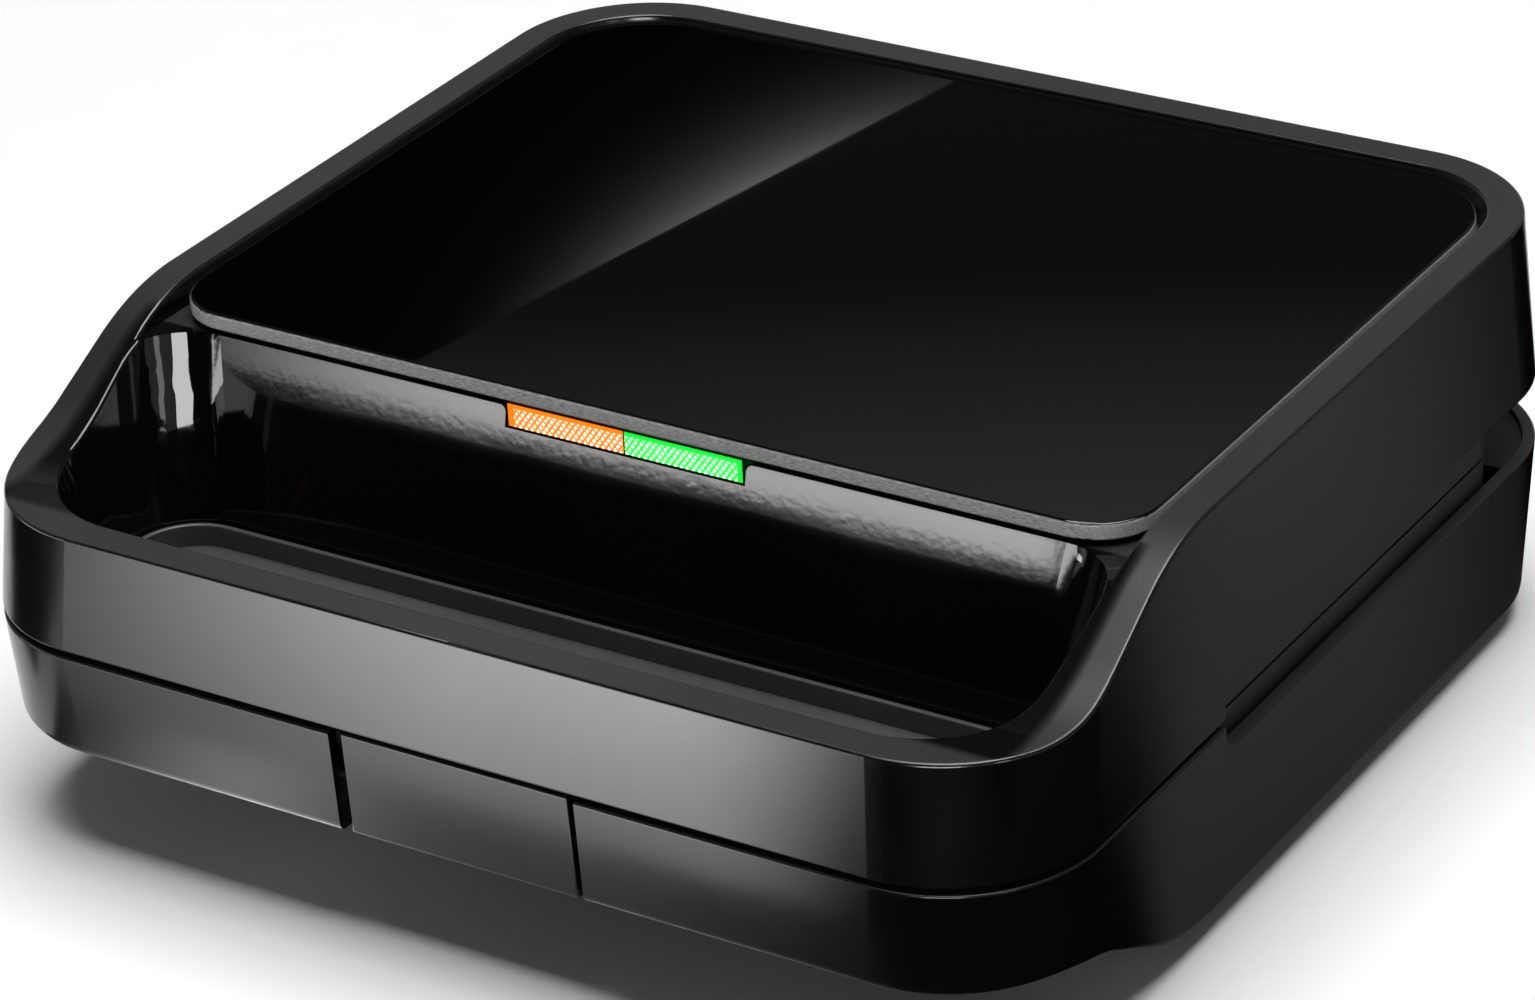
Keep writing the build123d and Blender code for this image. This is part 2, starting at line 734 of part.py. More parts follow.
def make_base_housing():
    """Drafted tub with raised front handle, partition, latch bay, screw bosses and hinge ears."""
    body = drafted(base_outline(0), base_bottom_z, base_top_z)
    body -= chin_cutter(0)
    body = fillet(outer_edges(body, base_outline(0), base_bottom_z, chin_z), bottom_edge_radius)
    body = slotted(body, base_outline(0), base_top_z, base_rear_z, far)
    hollow = drafted(base_outline(wall), floor_z, base_top_z + wall)
    hollow -= chin_cutter(wall)
    hollow -= block(-far, far, partition_front_y, partition_front_y + partition, -far, far)
    for x, y in post_places:
        hollow -= post(x, y, 0, lower_shield_z, boss_radius)
    for x, y in rear_boss_places:
        hollow -= post(x, y, 0, base_cover_z - cover_thickness, small_boss_radius)
    bay = latch_bay_half
    back_y = latch_bay_back_y
    hollow -= block(-bay - latch_rib, bay + latch_rib, -far, back_y + latch_rib, -far, tray_bottom_z)
    shell = body - hollow
    inside = drafted(base_outline(wall / 2), base_bottom_z, hinge_z + 2 * hinge_radius)
    for side in (-1, 1):
        for hand in (-1, 1):
            middle = side * hinge_middle_x + hand * (lug_width / 2 + side_play + ear_width / 2)
            x0, x1 = middle - ear_width / 2, middle + ear_width / 2
            ear = block(x0, x1, hinge_y - hinge_radius, hinge_y + hinge_radius,
                        base_rear_z - 3 * hinge_radius, hinge_z)
            ear += rod_x(x0, x1, hinge_y, hinge_z, hinge_radius)
            bore = hinge_pin_radius + fixed_clearance
            ear -= rod_x(x0 - ear_width, x1 + ear_width, hinge_y, hinge_z, bore)
            shell += ear & inside
    holes = [block(-bay, bay, -far, back_y, -far, far)]
    pin_end = bay + latch_rib
    holes.append(rod_x(-pin_end, pin_end, latch_pivot_y, latch_pivot_z, latch_pin_radius + fixed_clearance))
    for x, y in post_places:
        shoulder_z = base_bottom_z + head_sunk + screw_head_height
        holes.append(post(x, y, 0, shoulder_z, screw_head_radius + head_clearance))
        holes.append(post(x, y, 0, lower_shield_z + wall, screw_radius + screw_hole_clearance))
    for x, y in tray_screw_places():
        holes.append(post(x, y, 0, chin_z + wall + small_head_height, screw_radius + screw_hole_clearance))
        holes.append(post(x, y, 0, chin_z + small_head_height, small_head_radius + head_clearance))
    for x, y in rear_boss_places:
        tip_z = base_cover_z - cover_thickness - screw_grip
        holes.append(post(x, y, base_cover_z, tip_z, screw_radius + thread_clearance))
    for x, y in foot_places().values():
        holes.append(post(x, y, 0, floor_z + wall, foot_stem_radius + fixed_clearance))
    bush_radius = gland_bore_radius + gland_wall + fixed_clearance
    holes.append(rod_y(gland_x, depth / 2 - 3 * wall, depth, gland_z, bush_radius))
    return shell - holes


def make_tray_lip(rear_y):
    """Raised lip of the tray, just inside the lid's recess, that closes the seam behind the front bar."""
    def outline(inset, z):
        return rounded_face(
            recess_half(lid_edge_z) - inset, recess_front_y(lid_edge_z) + inset,
            rear_y + tray_lip_gap - inset,
            recess_front_round * handle_depth - inset, recess_rear_round * handle_depth - inset, z)
    middle_z = tray_top_z - tray_thickness / 2
    lip = extrude(outline(tray_lip_gap, middle_z), amount=lid_edge_z + tray_lip_rise - middle_z, dir=(0, 0, 1))
    lip -= extrude(outline(tray_lip_gap + tray_lip_width, middle_z), amount=far, dir=(0, 0, 1))
    return fillet(lip.edges().group_by(Axis.Z)[-1], tray_lip_radius)


def make_handle_tray():
    """Floor of the finger recess, with a small step along its edge, a raised lip and two screw bosses."""
    gap = wall + tray_clearance
    tray = drafted(base_outline(gap), tray_bottom_z, tray_top_z + tray_step_height)
    tray -= drafted(base_outline(gap + tray_step_width), tray_top_z, tray_top_z + wall)
    rear_y = partition_front_y - tray_clearance
    tray &= block(-far, far, -far, rear_y, -far, far)
    step = block(-far, far, rear_y - tray_step_width, rear_y, tray_bottom_z, tray_top_z + tray_step_height)
    tray += step & drafted(base_outline(gap), tray_bottom_z, tray_top_z + tray_step_height)
    tray += make_tray_lip(rear_y)
    for x, y in tray_screw_places():
        tray += post(x, y, chin_z + wall, tray_top_z - tray_thickness / 2, small_boss_radius)
        tray -= post(x, y, chin_z, chin_z + wall + screw_grip, screw_radius + thread_clearance)
    return tray - block(-latch_bay_half, latch_bay_half, -far, latch_bay_back_y, -far, far)


def make_tray_screws():
    """Screws of the tray, with their heads sunk in the underside of the handle."""
    return Compound([small_screw(x, y, chin_z, 1) for x, y in tray_screw_places()])


def make_latch_lever():
    """Front panel with a pivot boss and a hook that reaches up into the lid."""
    half = latch_width / 2
    low, high = (latch_face_y(chin_z), chin_z), (latch_face_y(base_top_z), base_top_z)
    lever = across([low, high, (high[0] + latch_panel, high[1]), (low[0] + latch_panel, low[1])], half)
    lever = fillet(lever.faces().sort_by(Axis.Y)[0].edges(), latch_edge_radius)
    web_front_y = low[0] + latch_panel / 2
    boss_half = half - latch_side_gap
    lever += block(-boss_half, boss_half, web_front_y, latch_pivot_y,
                   latch_pivot_z - latch_boss_radius, latch_pivot_z + latch_boss_radius)
    lever += rod_x(-boss_half, boss_half, latch_pivot_y, latch_pivot_z, latch_boss_radius)
    hook_half = hook_width / 2
    lever += block(-hook_half, hook_half, hook_front_y, latch_pivot_y, latch_pivot_z, hook_top_z)
    lever += block(-hook_half, hook_half, hook_front_y, hook_nose_y, hook_nose_z, hook_top_z)
    return lever - rod_x(-half, half, latch_pivot_y, latch_pivot_z, latch_pin_radius + running_clearance)


def make_latch_pin():
    """Steel pin across the latch bay."""
    end = latch_bay_half + latch_rib
    return rod_x(-end, end, latch_pivot_y, latch_pivot_z, latch_pin_radius)


def make_hinge_pin(side):
    """Steel pin through two base ears and one lid lug."""
    middle = side * hinge_middle_x
    return rod_x(middle - ear_span, middle + ear_span, hinge_y, hinge_z, hinge_pin_radius)


def make_lens(side):
    """Clear block under the panel's edge with a light guide down behind the wall; side -1 is left."""
    x0, x1 = side * lens_gap / 2, side * lens_width
    front_y = recess_rear_y(lens_bottom_z)
    back_y = panel_front_y + lens_depth - lens_gap
    lens = block(x0, x1, front_y, back_y, lens_bottom_z, lens_top_z)
    guide_y = recess_rear_y(deck_bottom_z) + recess_wall + lens_gap
    top_z = deck_bottom_z - lens_gap
    return lens + block(x0, x1, guide_y, guide_y + lens_back, upper_flange_z + lens_guide_gap, top_z)


def make_lamp_holder():
    """Block under the deck with a socket for each lamp."""
    half = lens_width + lens_gap
    front_y = panel_front_y + lens_depth
    holder = block(-half, half, front_y, front_y + lamp_holder_depth,
                   deck_bottom_z - lamp_holder_height, deck_bottom_z)
    for side in (-1, 1):
        holder -= rod_y(side * lens_width / 2, front_y - wall, front_y + lamp_length,
                        deck_bottom_z - lamp_below_deck, lamp_radius + lamp_clearance)
    return holder


def make_lamp(side):
    """Small round lamp with a domed front, seated at the bottom of its socket."""
    x = side * lens_width / 2
    z = deck_bottom_z - lamp_below_deck
    back_y = panel_front_y + lens_depth + lamp_length
    front_y = back_y - lamp_length - lamp_ahead + lamp_radius
    return rod_y(x, front_y, back_y, z, lamp_radius) + Pos(x, front_y, z) * Sphere(lamp_radius)


def make_thermostat():
    """Disc thermostat on the back of the upper plate, with two tabs."""
    x = -(plate_half - plate_skirt - thermostat_edge_gap - thermostat_radius)
    z = upper_plate_z + plate_sheet
    body = post(x, plate_middle_y, z, z + thermostat_height, thermostat_radius - thermostat_flange)
    body += post(x, plate_middle_y, z, z + thermostat_height / 2, thermostat_radius)
    for hand in (-1, 1):
        y = plate_middle_y + hand * thermostat_radius / 2
        tab_z = z + thermostat_height
        body += block(x - thermostat_flange, x + thermostat_flange, y - thermostat_flange / 2,
                      y + thermostat_flange / 2, tab_z - wall, tab_z + thermostat_tab)
    return body


def fuse_middle():
    """Middle of the thermal fuse, lying on the back of the upper plate."""
    x = plate_half - plate_skirt - thermostat_edge_gap - thermostat_radius
    return x, upper_plate_z + plate_sheet + fuse_radius


def make_thermal_fuse():
    """Sleeved fuse with its axis from front to back."""
    x, z = fuse_middle()
    return rod_y(x, plate_middle_y - fuse_length / 2, plate_middle_y + fuse_length / 2, z, fuse_radius)


def make_fuse_strap():
    """Arched strap with two feet that holds the fuse to the plate."""
    x, z = fuse_middle()
    y0, y1 = plate_middle_y - fuse_strap_width / 2, plate_middle_y + fuse_strap_width / 2
    low_z = z - fuse_radius
    outer = fuse_radius + fixed_clearance + fuse_strap
    strap = rod_y(x, y0, y1, z, outer) + block(x - outer, x + outer, y0, y1, low_z, z)
    strap += block(x - 2 * outer, x + 2 * outer, y0, y1, low_z, low_z + fuse_strap)
    strap &= block(-far, far, -far, far, low_z, far)
    inner = fuse_radius + fixed_clearance
    strap -= rod_y(x, y0 - wall, y1 + wall, z, inner)
    return strap - block(x - inner, x + inner, y0 - wall, y1 + wall, low_z, z)


def make_terminal_block():
    """Block with two rows of round wells, on the floor beside the cord inlet."""
    y = depth / 2 - block_distance
    x = gland_x - block_length
    body = block(x - block_length / 2, x + block_length / 2, y - block_width / 2, y + block_width / 2,
                 floor_z, floor_z + block_height)
    for step in (-1, 0, 1):
        for hand in (-1, 1):
            well_x = x + step * block_length / 3
            well_y = y + hand * block_width / 4
            low_z = floor_z + block_height / 2
            body -= post(well_x, well_y, low_z, low_z + block_height, screw_radius)
    return body


def make_cord_gland():
    """Bush in the rear wall with an inner flange; the supply cord goes through its bore."""
    outer = gland_bore_radius + gland_wall
    wall_y = depth / 2 - base_draft * (base_top_z - gland_z)
    flange_y = wall_y - wall - base_draft * gland_flange_radius - fixed_clearance
    bush = rod_y(gland_x, flange_y - gland_inner_length, depth / 2, gland_z, outer)
    bush += rod_y(gland_x, flange_y - gland_flange_thickness, flange_y, gland_z, gland_flange_radius)
    return bush - rod_y(gland_x, 0, depth, gland_z, gland_bore_radius)


def make_foot(x, y):
    """Soft foot with a stem and a lip that snaps over the floor."""
    foot = post(x, y, 0, base_bottom_z, foot_radius)
    foot = fillet(foot.edges().group_by(Axis.Z)[0], foot_edge_radius)
    foot += post(x, y, base_bottom_z, floor_z, foot_stem_radius)
    return foot + post(x, y, floor_z, floor_z + foot_lip_height, foot_lip_radius)


def make_pieces():
    """Every piece by its name."""
    lower_post = lower_plate_z - lower_shield_z - shield_thickness
    upper_post = upper_shield_z - upper_plate_z
    upper_plate = mirror(make_plate(upper_skirt_height, upper_post), about=Plane.XY)
    lower_front_y = plate_front_y + shield_margin
    upper_front_y = recess_rear_y(upper_flange_z) + recess_wall + plate_clearance
    pieces = {
        "base_housing": make_base_housing(),
        "handle_tray": make_handle_tray(),
        "tray_screws": make_tray_screws(),
        "lower_plate": Pos(0, 0, lower_plate_z) * make_plate(lower_skirt_height, lower_post),
        "lower_heating_element": make_element(-1, lower_plate_z),
        "lower_element_clips": make_clips(-1, lower_plate_z),
        "lower_clip_screws": make_clip_screws(-1, lower_plate_z),
        "lower_heat_shield": make_shield(lower_shield_z + shield_thickness, -1, lower_front_y),
        "lower_plate_screws": make_lower_plate_screws(),
        "base_rear_cover": make_base_rear_cover(),
        "base_rear_cover_screws": make_rear_cover_screws(base_cover_z, -1),
        "terminal_block": make_terminal_block(),
        "cord_gland": make_cord_gland(),
        "latch_lever": make_latch_lever(),
        "latch_pin": make_latch_pin(),
        "hinge_pin_left": make_hinge_pin(-1),
        "hinge_pin_right": make_hinge_pin(1),
        "lid_housing": make_lid_housing(),
        "top_panel": make_top_panel(),
        "panel_gasket": make_panel_gasket(),
        "handle_cover": make_handle_cover(),
        "handle_screws": make_handle_screws(),
        "lid_rear_cover": make_lid_rear_cover(),
        "lid_rear_cover_screws": make_rear_cover_screws(lid_cover_z, 1),
        "upper_plate": Pos(0, 0, upper_plate_z) * upper_plate,
        "upper_heating_element": make_element(1, upper_plate_z),
        "upper_element_clips": make_clips(1, upper_plate_z),
        "upper_clip_screws": make_clip_screws(1, upper_plate_z),
        "upper_heat_shield": make_shield(upper_shield_z, 1, upper_front_y),
        "upper_plate_screws": make_upper_plate_screws(),
        "thermostat": make_thermostat(),
        "thermal_fuse": make_thermal_fuse(),
        "fuse_strap": make_fuse_strap(),
        "indicator_lens_amber": make_lens(-1),
        "indicator_lens_green": make_lens(1),
        "lamp_holder": make_lamp_holder(),
        "lamp_amber": make_lamp(-1),
        "lamp_green": make_lamp(1)}
    for place, (x, y) in foot_places().items():
        pieces[f"foot_{place}"] = make_foot(x, y)
    return pieces


os.makedirs("parts", exist_ok=True)
for name, piece in make_pieces().items():
    export_step(piece, f"parts/{name}.step")
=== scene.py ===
import math

import bpy
import numpy as np
from mathutils import Matrix, Vector


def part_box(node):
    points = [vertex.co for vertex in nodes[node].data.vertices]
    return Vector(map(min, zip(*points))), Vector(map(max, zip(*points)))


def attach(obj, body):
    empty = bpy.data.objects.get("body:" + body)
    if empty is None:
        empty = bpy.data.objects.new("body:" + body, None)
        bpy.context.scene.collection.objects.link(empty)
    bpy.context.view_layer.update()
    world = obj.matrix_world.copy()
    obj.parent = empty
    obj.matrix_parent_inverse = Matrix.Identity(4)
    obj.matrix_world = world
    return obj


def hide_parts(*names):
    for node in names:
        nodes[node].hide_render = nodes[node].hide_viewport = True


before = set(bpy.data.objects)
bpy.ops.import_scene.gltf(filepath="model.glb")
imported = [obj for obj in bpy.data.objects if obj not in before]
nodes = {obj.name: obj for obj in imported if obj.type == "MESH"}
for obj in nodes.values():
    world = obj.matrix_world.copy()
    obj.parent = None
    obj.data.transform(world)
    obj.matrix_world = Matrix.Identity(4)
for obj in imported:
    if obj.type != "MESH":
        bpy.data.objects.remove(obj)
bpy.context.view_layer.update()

# Donut maker: finishes for the imported nodes, the two lenses with painted light, and the studio
# round them.
# Everything is in metres, apart from the lenses' prisms, which are worked out in millimetres.

scene = bpy.context.scene
MM = 0.001


# ---------------------------------------------------------------- meshes

def mesh_object(name, points, faces, smooth=False):
    """A mesh object at the origin from an (n, 3) array of points in metres and a list of faces."""
    mesh = bpy.data.meshes.new(name)
    mesh.from_pydata(np.asarray(points, float).tolist(), [], faces)
    mesh.update()
    mesh.polygons.foreach_set("use_smooth", np.full(len(mesh.polygons), smooth))
    thing = bpy.data.objects.new(name, mesh)
    scene.collection.objects.link(thing)
    return thing


def grid_faces(rows, columns):
    """The quads of a rows x columns grid of points numbered row by row."""
    first = (np.arange(rows - 1)[:, None]*columns + np.arange(columns - 1)[None, :]).ravel()
    return np.stack([first, first + 1, first + columns + 1, first + columns], axis=1).tolist()


def ring_faces(outer, inner):
    """Quads between two closed rings of point numbers that have the same length."""
    outer, inner = np.asarray(outer), np.asarray(inner)
    return np.stack([outer, np.roll(outer, -1), np.roll(inner, -1), inner], axis=1).tolist()


def grid_border(rows, columns):
    """The point numbers round the edge of a grid, in order."""
    low = np.arange(columns)
    right = np.arange(1, rows)*columns + columns - 1
    high = (rows - 1)*columns + np.arange(columns - 2, -1, -1)
    left = np.arange(rows - 2, 0, -1)*columns
    return np.concatenate([low, right, high, left])


# the lenses' fronts, millimetres
LENS_HEIGHT = 4.8
LENS_ROWS, LENS_COLUMNS = 67, 361
LENS_BORDER = 0.12
PLAIN_TOP = 0.8
PRISM_HEIGHT = 0.4
PRISM_COLUMN, PRISM_ROW = 1.35, 1.8


def prism_lens(name, node, plain_side, plain_end):
    """Indicator lens whose front is a staggered lattice of small four-sided pyramids.

    With p = x/column + z/row and q = x/column - z/row, the front stands out by
    height * (1 - 2*max(|frac p - 1/2|, |frac q - 1/2|)). It is plain for plain_end at its outer end
    and for PLAIN_TOP along the top, and the pyramids sink to nothing over LENS_BORDER at its edge.
    The block runs straight back from the border of the front.
    """
    low, high = (np.array(corner)/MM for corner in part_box(node))
    front, back = low[1] + PRISM_HEIGHT, high[1]
    bottom = high[2] - LENS_HEIGHT
    across = np.linspace(low[0], high[0], LENS_COLUMNS)
    upward = np.linspace(bottom, high[2], LENS_ROWS)
    x, z = np.meshgrid(across, upward)
    p = np.mod(x/PRISM_COLUMN + z/PRISM_ROW, 1.0) - 0.5
    q = np.mod(x/PRISM_COLUMN - z/PRISM_ROW, 1.0) - 0.5
    peak = 1.0 - 2.0*np.maximum(np.abs(p), np.abs(q))
    end = x - low[0] if plain_side < 0 else high[0] - x
    peak = np.where((end > plain_end) & (z < high[2] - PLAIN_TOP), peak, 0.0)
    edge = np.minimum.reduce([x - low[0], high[0] - x, z - bottom, high[2] - z])
    peak = peak*np.clip(edge/LENS_BORDER, 0.0, 1.0)
    y = front - PRISM_HEIGHT*peak
    points = np.stack([x, y, z], axis=-1).reshape(-1, 3)
    border = grid_border(*x.shape)
    rim = points[border].copy()
    rim[:, 1] = back
    behind = len(points) + np.arange(len(border))
    fronts = grid_faces(*x.shape)
    sides = [quad[::-1] for quad in ring_faces(border, behind)]
    faces = fronts + sides + [behind[::-1].tolist()]
    lens = mesh_object(name, np.concatenate([points, rim])*MM, faces)
    tips = lens.data.attributes.new("prism", "FLOAT", "POINT")
    tips.data.foreach_set("value", np.concatenate([peak.ravel(), np.zeros(len(rim))]))
    # the front faces, where the lens's light is painted; the sides and back get painted shade
    # instead
    lit = lens.data.attributes.new("painted_light_front", "FLOAT", "FACE")
    lit.data.foreach_set("value", np.repeat([1.0, 0.0], [len(fronts), len(sides) + 1]))
    return lens


# ---------------------------------------------------------------- shader nodes

# socket numbers of Blender's Mix node, which has one set for each kind of value
MIX_FACTOR = 0
VALUE_A, VALUE_B, VALUE_RESULT = 2, 3, 0
COLOUR_A, COLOUR_B, COLOUR_RESULT = 6, 7, 2


def add(tree, kind, inputs=(), **settings):
    """A node of that kind with these settings; each input, by name or number, is set or linked."""
    made = tree.nodes.new(kind)
    for key, value in settings.items():
        setattr(made, key, value)
    for key, value in dict(inputs).items():
        if isinstance(value, bpy.types.NodeSocket):
            tree.links.new(value, made.inputs[key])
        else:
            made.inputs[key].default_value = value
    return made


def math_node(tree, operation, first, second=0.0, third=0.0, clamp=False):
    """The result of a Math node on up to three values or sockets."""
    given = {0: first, 1: second, 2: third}
    return add(tree, "ShaderNodeMath", given, operation=operation, use_clamp=clamp).outputs[0]


def spread(tree, value, low, high, dark=0.3, light=0.7):
    """A value between low and high as the given value goes from dark to light."""
    made = add(tree, "ShaderNodeMapRange", {"Value": value, "From Min": dark, "From Max": light,
                                            "To Min": low, "To Max": high})
    return made.outputs["Result"]


def mix_values(tree, mask, first, second):
    """A value between two values by a mask."""
    given = {MIX_FACTOR: mask, VALUE_A: first, VALUE_B: second}
    return add(tree, "ShaderNodeMix", given, data_type="FLOAT").outputs[VALUE_RESULT]


def blend(tree, mask, first, second):
    """A colour between two colours by a mask."""
    first, second = (colour if isinstance(colour, bpy.types.NodeSocket) else (*colour, 1.0)
                     for colour in (first, second))
    given = {MIX_FACTOR: mask, COLOUR_A: first, COLOUR_B: second}
    return add(tree, "ShaderNodeMix", given, data_type="RGBA").outputs[COLOUR_RESULT]


def object_place(tree):
    """The piece's own coordinates, which stay with it as it turns."""
    return add(tree, "ShaderNodeTexCoord").outputs["Object"]


def facing_up(tree):
    """Z of the piece's own normal, which stays with it as it turns: 1 on its level top faces."""
    own_normal = add(tree, "ShaderNodeTexCoord").outputs["Normal"]
    return add(tree, "ShaderNodeSeparateXYZ", {"Vector": own_normal}).outputs["Z"]


def bump(tree, shader, height, strength, distance):
    """Gives the shader a bumped normal from a height."""
    made = add(tree, "ShaderNodeBump", {"Height": height, "Strength": strength,
                                        "Distance": distance})
    tree.links.new(made.outputs[0], shader.inputs["Normal"])


# ---------------------------------------------------------------- shader groups

def new_group(name, inputs, outputs):
    """An empty shader group with float inputs (name: default) and float outputs, by name."""
    group = bpy.data.node_groups.new(name, "ShaderNodeTree")
    for key, value in inputs.items():
        socket = group.interface.new_socket(key, in_out="INPUT", socket_type="NodeSocketFloat")
        socket.default_value = value
    for key in outputs:
        group.interface.new_socket(key, in_out="OUTPUT", socket_type="NodeSocketFloat")
    return group, group.nodes.new("NodeGroupInput"), group.nodes.new("NodeGroupOutput")


def make_moulded_skin():
    """Slow waviness of a moulded face plus its fine grain, as one height, and a slow mottle."""
    group, given, out = new_group(
        "moulded skin", {"Wave Scale": 220.0, "Grain Scale": 2600.0, "Grain Share": 0.15},
        ("Height", "Mottle"))
    place = object_place(group)
    wave = add(group, "ShaderNodeTexNoise", {"Vector": place, "Scale": given.outputs["Wave Scale"],
                                             "Detail": 1.0, "Roughness": 0.4})
    grain = add(group, "ShaderNodeTexNoise", {"Vector": place, "Detail": 2.0, "Roughness": 0.6,
                                              "Scale": given.outputs["Grain Scale"]})
    height = math_node(group, "MULTIPLY_ADD", grain.outputs["Fac"], given.outputs["Grain Share"],
                       wave.outputs["Fac"])
    slow = add(group, "ShaderNodeTexNoise", {"Vector": place, "Scale": 28.0, "Detail": 3.0,
                                             "Roughness": 0.55})
    group.links.new(height, out.inputs["Height"])
    group.links.new(slow.outputs["Fac"], out.inputs["Mottle"])
    return group


def make_speckle():
    """Fine flecks in a coating: a cell pattern cut at a threshold, and those cells as a height."""
    sharpness, fleck_height = 9.0, 0.5
    group, given, out = new_group("coating speckle", {"Scale": 1400.0, "Threshold": 0.33},
                                  ("Fleck", "Height"))
    place = object_place(group)
    cells = add(group, "ShaderNodeTexVoronoi", {"Vector": place, "Scale": given.outputs["Scale"],
                                                "Randomness": 1.0})
    fine = add(group, "ShaderNodeTexNoise", {"Vector": place, "Scale": 5200.0, "Detail": 2.0})
    low = math_node(group, "SUBTRACT", given.outputs["Threshold"], cells.outputs["Distance"])
    fleck = math_node(group, "MULTIPLY", low, sharpness, clamp=True)
    height = math_node(group, "MULTIPLY_ADD", fleck, fleck_height, fine.outputs["Fac"])
    group.links.new(fleck, out.inputs["Fleck"])
    group.links.new(height, out.inputs["Height"])
    return group


def make_brushing():
    """Long fine lines along X, as a tone that also serves as their height."""
    group, given, out = new_group("brushed lines", {"Lines": 9000.0, "Length": 260.0}, ("Tone",))
    x, y, z = add(group, "ShaderNodeSeparateXYZ", {"Vector": object_place(group)}).outputs
    stretched = add(group, "ShaderNodeCombineXYZ", {
        "X": math_node(group, "MULTIPLY", x, given.outputs["Length"]),
        "Y": math_node(group, "MULTIPLY", y, given.outputs["Lines"]),
        "Z": math_node(group, "MULTIPLY", z, given.outputs["Lines"])})
    lines = add(group, "ShaderNodeTexNoise", {"Vector": stretched.outputs[0], "Scale": 1.0,
                                              "Detail": 2.0, "Roughness": 0.6})
    group.links.new(lines.outputs["Fac"], out.inputs["Tone"])
    return group


def place_group(tree, group, **values):
    """A node of a shader group, with its inputs given as grain_scale for Grain Scale."""
    inputs = {key.replace("_", " ").title(): value for key, value in values.items()}
    return add(tree, "ShaderNodeGroup", inputs, node_tree=group)


moulded_skin = make_moulded_skin()
coating_speckle = make_speckle()
brushed_lines = make_brushing()


# ---------------------------------------------------------------- materials

# where the recess's polish fades in or out, by place
lid_low, lid_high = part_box("lid_housing")
panel_low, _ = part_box("top_panel")
BAR_FADE = (lid_low.y + 0.0105, lid_low.y + 0.0125)
PANEL_FADE = (panel_low.y + 0.0004, panel_low.y + 0.0014)
RIM_FADE = (lid_high.z - 0.003, lid_high.z - 0.001)
SIDE_FADE = (lid_high.x - 0.0095, lid_high.x - 0.007)
# where the level lands and the panel's cut edge do, by the normal's Z
LAND_FADE = (0.7, 0.97)
CUT_EDGE_FADE = (0.1, 0.7)


def new_material(name):
    """A material with a Principled shader on its output: the material, its tree and the shader."""
    material = bpy.data.materials.new(name)
    material.use_nodes = True
    tree = material.node_tree
    return material, tree, tree.nodes["Principled BSDF"]


def coat(tree, shader, colour, roughness):
    """Links a colour and a roughness to the shader."""
    tree.links.new(colour, shader.inputs["Base Color"])
    tree.links.new(roughness, shader.inputs["Roughness"])


def make_shell_gloss():
    """Black gloss plastic: a satin skin, duller on level lands, and polished in the finger recess.
    The level lands are also painted a lighter colour, a painted sheen of the light from above.

    The polished part is where y lies between the front bar and the panel, x between the sides and
    z under the rim.
    """
    material, tree, shader = new_material("black gloss shell")
    skin = place_group(tree, moulded_skin, wave_scale=620.0, grain_scale=2600.0, grain_share=0.12)
    mottle = skin.outputs["Mottle"]
    x, y, z = add(tree, "ShaderNodeSeparateXYZ", {"Vector": object_place(tree)}).outputs
    between_bar_and_panel = math_node(tree, "MULTIPLY", spread(tree, y, 0.0, 1.0, *BAR_FADE),
                                      spread(tree, y, 1.0, 0.0, *PANEL_FADE))
    between_sides = spread(tree, math_node(tree, "ABSOLUTE", x), 1.0, 0.0, *SIDE_FADE)
    under_rim = spread(tree, z, 1.0, 0.0, *RIM_FADE)
    inside = math_node(tree, "MULTIPLY", between_bar_and_panel,
                       math_node(tree, "MULTIPLY", under_rim, between_sides))
    # land: faces that point up, outside the recess; it makes them duller and carries their painted
    # sheen
    land = math_node(tree, "MULTIPLY", spread(tree, facing_up(tree), 0.0, 1.0, *LAND_FADE),
                     math_node(tree, "SUBTRACT", 1.0, inside))
    satin = math_node(tree, "MULTIPLY_ADD", land, 0.1, spread(tree, mottle, 0.17, 0.22))
    polished = spread(tree, mottle, 0.04, 0.06)
    skin_colour = blend(tree, mottle, (0.002, 0.002, 0.0021), (0.0034, 0.0034, 0.0036))
    # painted sheen: the lands are coloured lighter than the skin, standing in for the light from
    # above
    painted_sheen_colour = blend(tree, mottle, (0.022, 0.022, 0.0223), (0.03, 0.03, 0.0304))
    coat(tree, shader, blend(tree, land, skin_colour, painted_sheen_colour),
         mix_values(tree, inside, satin, polished))
    bump(tree, shader, skin.outputs["Height"], 0.03, 0.0001)
    return material


def make_panel_gloss():
    """Mirror-black top panel; its cut edge carries a fine streaky grain, told by the normal."""
    material, tree, shader = new_material("black panel")
    upright = math_node(tree, "ABSOLUTE", facing_up(tree))
    edge = spread(tree, upright, 1.0, 0.0, *CUT_EDGE_FADE)
    skin = place_group(tree, moulded_skin, wave_scale=60.0, grain_scale=5200.0, grain_share=0.02)
    speckle = place_group(tree, coating_speckle, scale=2300.0, threshold=0.42)
    lines = place_group(tree, brushed_lines, lines=5200.0, length=700.0)
    streak = spread(tree, lines.outputs["Tone"], 0.45, 1.0, 0.35, 0.65)
    grain = math_node(tree, "MULTIPLY", streak, edge)
    colour = blend(tree, grain, (0.0007, 0.0007, 0.0008), (0.8, 0.8, 0.8))
    polish = spread(tree, skin.outputs["Mottle"], 0.008, 0.02)
    coat(tree, shader, colour, math_node(tree, "MULTIPLY_ADD", edge, 0.42, polish))
    height = math_node(tree, "MULTIPLY", speckle.outputs["Height"], edge)
    bump(tree, shader, height, 0.5, 0.0001)
    return material


